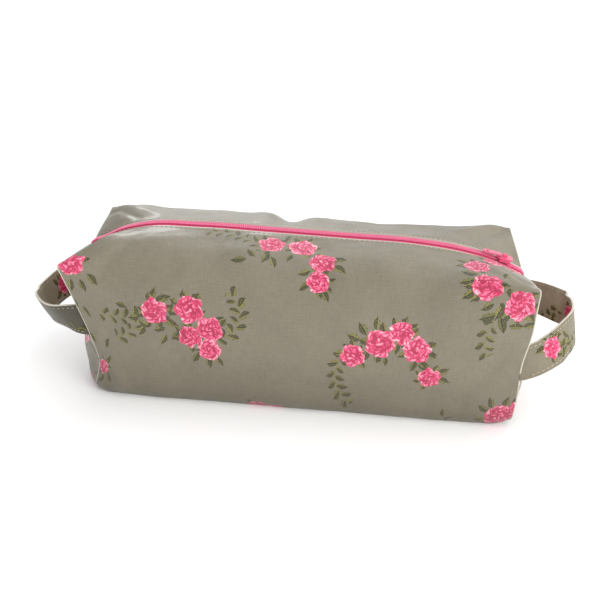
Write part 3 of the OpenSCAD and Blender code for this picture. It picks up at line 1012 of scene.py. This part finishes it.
FRONT_LEAVES = [
    (-84, 122, 70, 4.4, 2.4), (-77, 120, 20, 4.6, 2.6), (-73, 113, 80, 4.4, 2.3), (-74, 104, -20, 5, 2.7),
    (-82, 99, 200, 4, 2.2), (-92, 102, 150, 4, 2.2), (-72, 95, 230, 4.4, 2.4), (-60, 81, 240, 4.4, 2.3),
    (-52, 77.5, 280, 4.2, 2.2), (-45, 79, 310, 4, 2), (-54, 111, 50, 3.6, 2), (-64, 103, 200, 4, 2.2),
    (-41, 106, 60, 3.4, 1.8), (-92, 112, 160, 3.4, 1.8), (-98, 106, 190, 4.2, 2.3),
    (-94, 97, 230, 4.2, 2.3), (-80, 92, 240, 4, 2.2), (-106, 113, 165, 3.8, 2), (-34, 146, 190, 5, 2.7),
    (-27, 152, 130, 4, 2.2), (-18, 149, 250, 4.6, 2.5), (-13, 146, 290, 4.6, 2.4), (-26, 168, 120, 4, 2.2),
    (-7, 172, 80, 3.6, 2), (11, 163, 40, 4, 2.2), (26, 152, 0, 4.8, 2.6), (27, 144, -40, 4.8, 2.6),
    (6, 140, 200, 4, 2.2), (7, 132, 220, 4, 2.2), (20, 127, 300, 3.8, 2.1), (-4, 151, 250, 3.6, 2),
    (43, 108, 120, 5, 2.7), (38, 102, 160, 4.6, 2.5), (51, 112, 90, 4.6, 2.2), (46, 91, 250, 4.2, 2.3),
    (58, 88, 270, 3.2, 1.6), (64, 97, 260, 3.8, 2), (74, 108, 60, 3.6, 1.9), (84, 95, 0, 4.6, 2.4),
    (82, 87, -40, 4.6, 2.5), (75, 86, 250, 4, 2.1), (93, 84, 30, 4.4, 2.3), (94, 78, -20, 4.4, 2.3),
    (80, 86, 150, 3.4, 1.7), (98, 164, 160, 4.6, 2.4), (97, 157, 200, 4.6, 2.4), (101, 148, 170, 5, 2.7),
    (100, 141, 200, 5, 2.7), (101, 133, 220, 4.6, 2.5), (119, 124, 250, 5, 2.8), (122, 117, 290, 5, 2.8),
    (113, 121, 200, 5, 2.7), (130, 117, 0, 4.2, 2.2), (137, 118, 20, 4, 2.1), (112, 127, 210, 4, 2.2),
    (122, 150, 60, 3.8, 2), (113, 165, 100, 3.6, 2), (121, 60, 150, 4.2, 2.2), (125, 64, 110, 4, 2.2),
    (134, 65, 70, 4, 2.1), (120, 52, 190, 4, 2.1), (-136, 124, 250, 4.4, 2.4), (-128, 124, 280, 4, 2.2),
    (-121, 128, 310, 4.2, 2.2), (-140, 112, 260, 4, 2.2), (-133, 107, 300, 4, 2.1),
    (-137, 92, 110, 4.4, 2.4), (-124, 86, 60, 3.6, 2), (-127, 60, 300, 4, 2.1), (-135, 58, 240, 3.8, 2),
    (-125, 74, 60, 3.4, 1.8), (-160, 45, 80, 4.2, 2.2), (-166, 40, 20, 4.2, 2.2), (-150, 44, 120, 4, 2.1),
    (-148, 34, 200, 4, 2.1), (97, 55, 100, 3.2, 1.6), (101, 50, 40, 3, 1.5), (94, 49, 170, 3, 1.5),
]
FRONT_ARCS = [
    (-109, 145, 40, 252, 292, 7.6), (-122, 120, 31, 286, 331, 7.6), (-48, 112, 17, -85, 55, 7.2),
    (-54, 132, 42, 38, 95, 7.0), (52, 76, 24, 125, 235, 7.0), (134, 108, 20, 140, 215, 7.0),
]
BACK_ROSES = [
    (-96, 96, 8.4), (-80, 104, 9), (-70, 92, 7.8), (-14, 70, 8.4), (2, 79, 9), (14, 69, 7.6), (24, 84, 7),
    (72, 112, 9), (88, 106, 8), (80, 96, 7.2), (116, 74, 8), (-118, 60, 8), (100, 62, 7), (-156, 22, 8),
    (-150, 158, 8.4), (-166, 148, 7), (154, 162, 8), (168, 152, 7), (160, 18, 8.2),
]
BACK_LEAVES = [
    (-104, 100, 160, 4.6, 2.5), (-88, 110, 100, 4.6, 2.5), (-72, 110, 50, 4.4, 2.4),
    (-64, 100, 10, 4.6, 2.5), (-76, 84, 260, 4.4, 2.3), (-22, 76, 150, 4.6, 2.5), (-8, 84, 110, 4.6, 2.5),
    (10, 86, 70, 4.4, 2.3), (22, 74, 330, 4.4, 2.4), (6, 66, 270, 4.4, 2.3), (64, 118, 140, 4.6, 2.5),
    (80, 119, 80, 4.4, 2.4), (96, 110, 20, 4.6, 2.5), (88, 94, 290, 4.4, 2.4), (70, 100, 210, 4.6, 2.5),
    (42, 168, 100, 3.6, 1.9), (46, 172, 60, 3.4, 1.8), (38, 172, 150, 3.4, 1.8), (-110, 68, 90, 4.4, 2.4),
    (108, 80, 120, 4.4, 2.3), (124, 78, 40, 4.4, 2.3),
]
BACK_ARCS = [
    (-104, 76, 22, 100, 200, 7), (-2, 58, 26, 150, 215, 7), (-2, 58, 30, -20, 40, 7),
    (76, 84, 24, -60, 20, 7),
]
STRAP_ROSES = [(24, 32, 6.4), (92, 33, 6.4), (62, 12, 6), (278, 10, 6), (284, 33, 6), (238, 11, 6)]
STRAP_LEAVES = [
    (16, 29, 160, 3.6, 1.9), (31, 27, 30, 3.8, 2), (33, 34, -10, 3.8, 2), (31, 39, -50, 3.8, 1.9),
    (38, 31, 60, 3.6, 1.8), (39, 37, 10, 3.6, 1.8), (205, 39.5, 150, 3.8, 1.9), (210, 41, 20, 3.6, 1.9),
    (214, 38, 130, 3.6, 1.8), (272, 15, 120, 3.6, 1.9), (285, 15, 60, 3.6, 1.9), (270, 6, 200, 3.6, 1.9),
    (279, 18, 90, 3.2, 1.6), (84, 38, 140, 3.8, 2), (100, 38, 40, 3.8, 2),
]
STRAP_ARCS = [(44, 26, 14, 60, 140, 6), (96, 14, 16, 200, 280, 6)]


def lining_material():
    net = Net("lining_cloth", 0.85)
    mm = net.flat_mm()
    weave = net.weave(mm, 8.4, 8.4)
    slub = net.noise(net.v("MULTIPLY", mm, (0.3, 2.4, 1)), 1.0, 3, 0.6)
    tone = net.add(net.madd(slub, 0.12, 0.9), net.mul(weave, 0.03))
    col = net.toned(srgb(222, 214, 196), tone)
    soil = net.step(net.noise(mm, 0.03, 3), 0.5, 0.8)
    col = net.mix(net.mul(soil, 0.18), col, srgb(170, 158, 132))
    net.shade("Base Color", col)
    net.shade("Sheen Weight", 0.2)
    wrinkle = net.noise(mm, 0.12, 3, 0.6)
    net.bump(net.madd(wrinkle, 0.8, net.mul(weave, 0.05)), 0.0011, 0.6)
    return net.mat


def tape_material():
    net = Net("zip_tape", 0.8)
    mm = net.flat_mm()
    x, y, _ = net.xyz(mm)
    zig = net.m("PINGPONG", y, 1.3)
    rib = net.sine(net.madd(x, 6.6, net.mul(zig, 4.5)))
    tone = net.madd(rib, 0.07, net.madd(net.noise(mm, 0.8, 3), 0.2, 0.86))
    # y is millimetres across the tape, from the zip's middle
    col = net.toned(net.ramp(net.mul(y, 0.1), TAPE_TONES), tone)
    net.shade("Base Color", col)
    net.shade("Sheen Weight", 0.25)
    net.bump(rib, 0.00008, 0.8)
    return net.mat


def teeth_material():
    net = Net("zip_coil", 0.34)
    pos = net.position()
    n = net.noise(pos, 900, 3)
    wide = net.noise(pos, 60, 2)
    col = net.mix(n, srgb(226, 92, 138), srgb(244, 140, 176))
    col = net.mix(net.mul(wide, 0.35), col, srgb(216, 70, 122))
    net.shade("Base Color", col)
    net.shade("Roughness", net.madd(n, 0.15, 0.28))
    net.bump(n, 0.00004, 0.5)
    return net.mat


def thread_material():
    net = Net("thread", 0.6)
    pos = net.position()
    x, y, z = net.xyz(pos)
    twist = net.sine(net.mul(net.add(net.add(x, y), z), 9000.0))
    n = net.noise(pos, 400, 2)
    col = net.mix(n, srgb(168, 158, 136), srgb(190, 180, 158))
    col = net.mix(net.madd(twist, 0.15, 0.15), col, srgb(138, 128, 108))
    net.shade("Base Color", col)
    net.shade("Sheen Weight", 0.3)
    net.bump(twist, 0.00005, 0.6)
    return net.mat


def enamel_material():
    net = Net("slider_enamel", 0.3)
    pos = net.position()
    n = net.noise(pos, 500, 3)
    worn = net.step(net.noise(pos, 260, 4, 0.65), 0.60, 0.68)
    col = net.mix(n, srgb(206, 70, 112), srgb(218, 90, 128))
    col = net.mix(net.mul(worn, 0.5), col, srgb(172, 150, 150))
    net.shade("Base Color", col)
    net.shade("Roughness", net.madd(n, 0.2, 0.22))
    net.shade("Metallic", net.mul(worn, 0.8))
    net.shade("Coat Weight", 0.5)
    net.bump(n, 0.00006, 0.4)
    return net.mat


def wear(ob, mat):
    ob.data.materials.clear()
    ob.data.materials.append(mat)


m_front = cloth_material("coated_cloth_front", FRONT_ROSES, FRONT_LEAVES, FRONT_ARCS)
m_back = cloth_material("coated_cloth_back", BACK_ROSES, BACK_LEAVES, BACK_ARCS)
# painted light and shade on the straps: each inner ply is brightened, and the left strap's outer ply is
# darkened
right_strap_painted_light, left_strap_painted_light_and_shade = (1.7, 1.0), (1.5, 0.42)
m_strap = {
    "right": cloth_material("coated_cloth_strap", STRAP_ROSES[:3], STRAP_LEAVES, STRAP_ARCS, right_strap_painted_light),
    "left": cloth_material("coated_cloth_strap_2", STRAP_ROSES[3:], STRAP_LEAVES, [], left_strap_painted_light_and_shade),
}
m_lining = lining_material()
m_tape = tape_material()
m_teeth = teeth_material()
m_thread = thread_material()
m_enamel = enamel_material()

# ---------------------------------------------------------------- what each piece wears; the model's own parts it replaces are hidden
for s in (-1, 1):
    f = NAME[s]
    looks = (m_front if s < 0 else m_back, m_lining, m_tape, m_teeth, m_thread)
    for piece, look in zip((cloth, lining, tape, teeth, stitch), looks):
        wear(piece[s], look)
        weigh(piece[s])
    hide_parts(f"{f}_outer_panel", f"{f}_flap_cloth")
    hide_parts(f"{f}_lining", f"{f}_flap_lining")
    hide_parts(f"{f}_zip_tape")
    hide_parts(f"{f}_zip_coil", f"{f}_zip_left_end", f"{f}_zip_right_end")
    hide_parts(f"{f}_topstitch")

for name, sx in (("left", -1), ("right", 1)):
    wear(strap[name], m_strap[name])
    wear(strap_stitch[name], m_thread)
    for ob in (strap[name], strap_stitch[name]):
        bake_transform(ob)
    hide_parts(f"{name}_strap_front_tail", f"{name}_strap_back_tail",
                f"{name}_strap_outer_ply", f"{name}_strap_inner_ply")
    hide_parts(f"{name}_strap_upper_stitch", f"{name}_strap_lower_stitch")

for n in ("zip_slider", "slider_crown", "pull_tab"):
    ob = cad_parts[n]
    wear(ob, m_enamel)
    bev = ob.modifiers.new("edge", "BEVEL")
    bev.width, bev.segments, bev.limit_method = 0.00018, 2, "ANGLE"

# ---------------------------------------------------------------- floor, light and camera
me = bpy.data.meshes.new("floor")
fx, fy = np.meshgrid(np.linspace(-6, 6, 41), np.linspace(-6, 6, 41))
points = np.stack([fx, fy, np.full_like(fx, -0.0001)], -1).reshape(-1, 3)
me.from_pydata(points.tolist(), [], quads(np.arange(41 * 41).reshape(41, 41)).tolist())
floor = place("floor", me)
paper = Net("floor_paper", 0.9)
speckle = paper.noise(paper.position(), 30, 2)
paper.shade("Base Color", paper.mix(speckle, (0.93, 0.93, 0.93, 1), (0.95, 0.95, 0.95, 1)))
paper.shade("Specular IOR Level", 0.0)
floor.data.materials.append(paper.mat)

# white studio, its strength varying with direction: brighter from the right and a little from above
world = bpy.data.worlds.new("studio")
bpy.context.scene.world = world
world.use_nodes = True
tree = world.node_tree
background = tree.nodes["Background"]
side_on = tree.nodes.new("ShaderNodeVectorMath")
side_on.operation = "DOT_PRODUCT"
side_on.inputs[1].default_value = (0.42, -0.05, 0.12)
tree.links.new(tree.nodes.new("ShaderNodeTexCoord").outputs["Generated"], side_on.inputs[0])
sky = tree.nodes.new("ShaderNodeMath")
sky.inputs[1].default_value = 0.94
tree.links.new(side_on.outputs["Value"], sky.inputs[0])
tree.links.new(sky.outputs[0], background.inputs["Strength"])
background.inputs["Color"].default_value = (1.0, 1.0, 1.0, 1)


def turn_along(ob, direction):
    ob.rotation_euler = Vector(direction).to_track_quat("-Z", "Y").to_euler()


def area(name, loc, target, size, watts, tint):
    d = bpy.data.lights.new(name, "AREA")
    d.shape, d.energy, d.color = "RECTANGLE", watts, tint
    d.size, d.size_y = size
    ob = place(name, d)
    ob.location = loc
    turn_along(ob, Vector(target) - Vector(loc))


area("window", (-0.45, 1.35, 0.7), (0, 0, 0.08), (0.7, 0.3), 4.5, (0.96, 0.985, 1.0))
area("fill", (0.75, -0.6, 0.38), (0.12, 0, 0.05), (0.5, 0.5), 5.5, (1.0, 0.985, 0.95))
sun_data = bpy.data.lights.new("sky_light", "SUN")
sun_data.energy, sun_data.angle = 0.5, math.radians(60)
turn_along(place("sky_light", sun_data), (-0.22, -0.5, -1))

cam_data = bpy.data.cameras.new("camera")
cam_data.lens, cam_data.sensor_width, cam_data.clip_start = 46.78, 36.0, 0.01
cam = place("camera", cam_data)
stand = Vector((0.0576, -0.4488, 0.2802))
yaw, pitch, roll = (math.radians(a) for a in (-7.44, 26.67, 0.47))
ahead = Vector((math.sin(yaw) * math.cos(pitch), math.cos(yaw) * math.cos(pitch), -math.sin(pitch)))
level = Vector((math.cos(yaw), -math.sin(yaw), 0))
right = math.cos(roll) * level + math.sin(roll) * level.cross(ahead)
axes = Matrix((right, right.cross(ahead), -ahead)).transposed()
cam.matrix_world = Matrix.Translation(stand) @ axes.to_4x4()
bpy.context.scene.camera = cam
bpy.context.scene.view_settings.view_transform = "Standard"
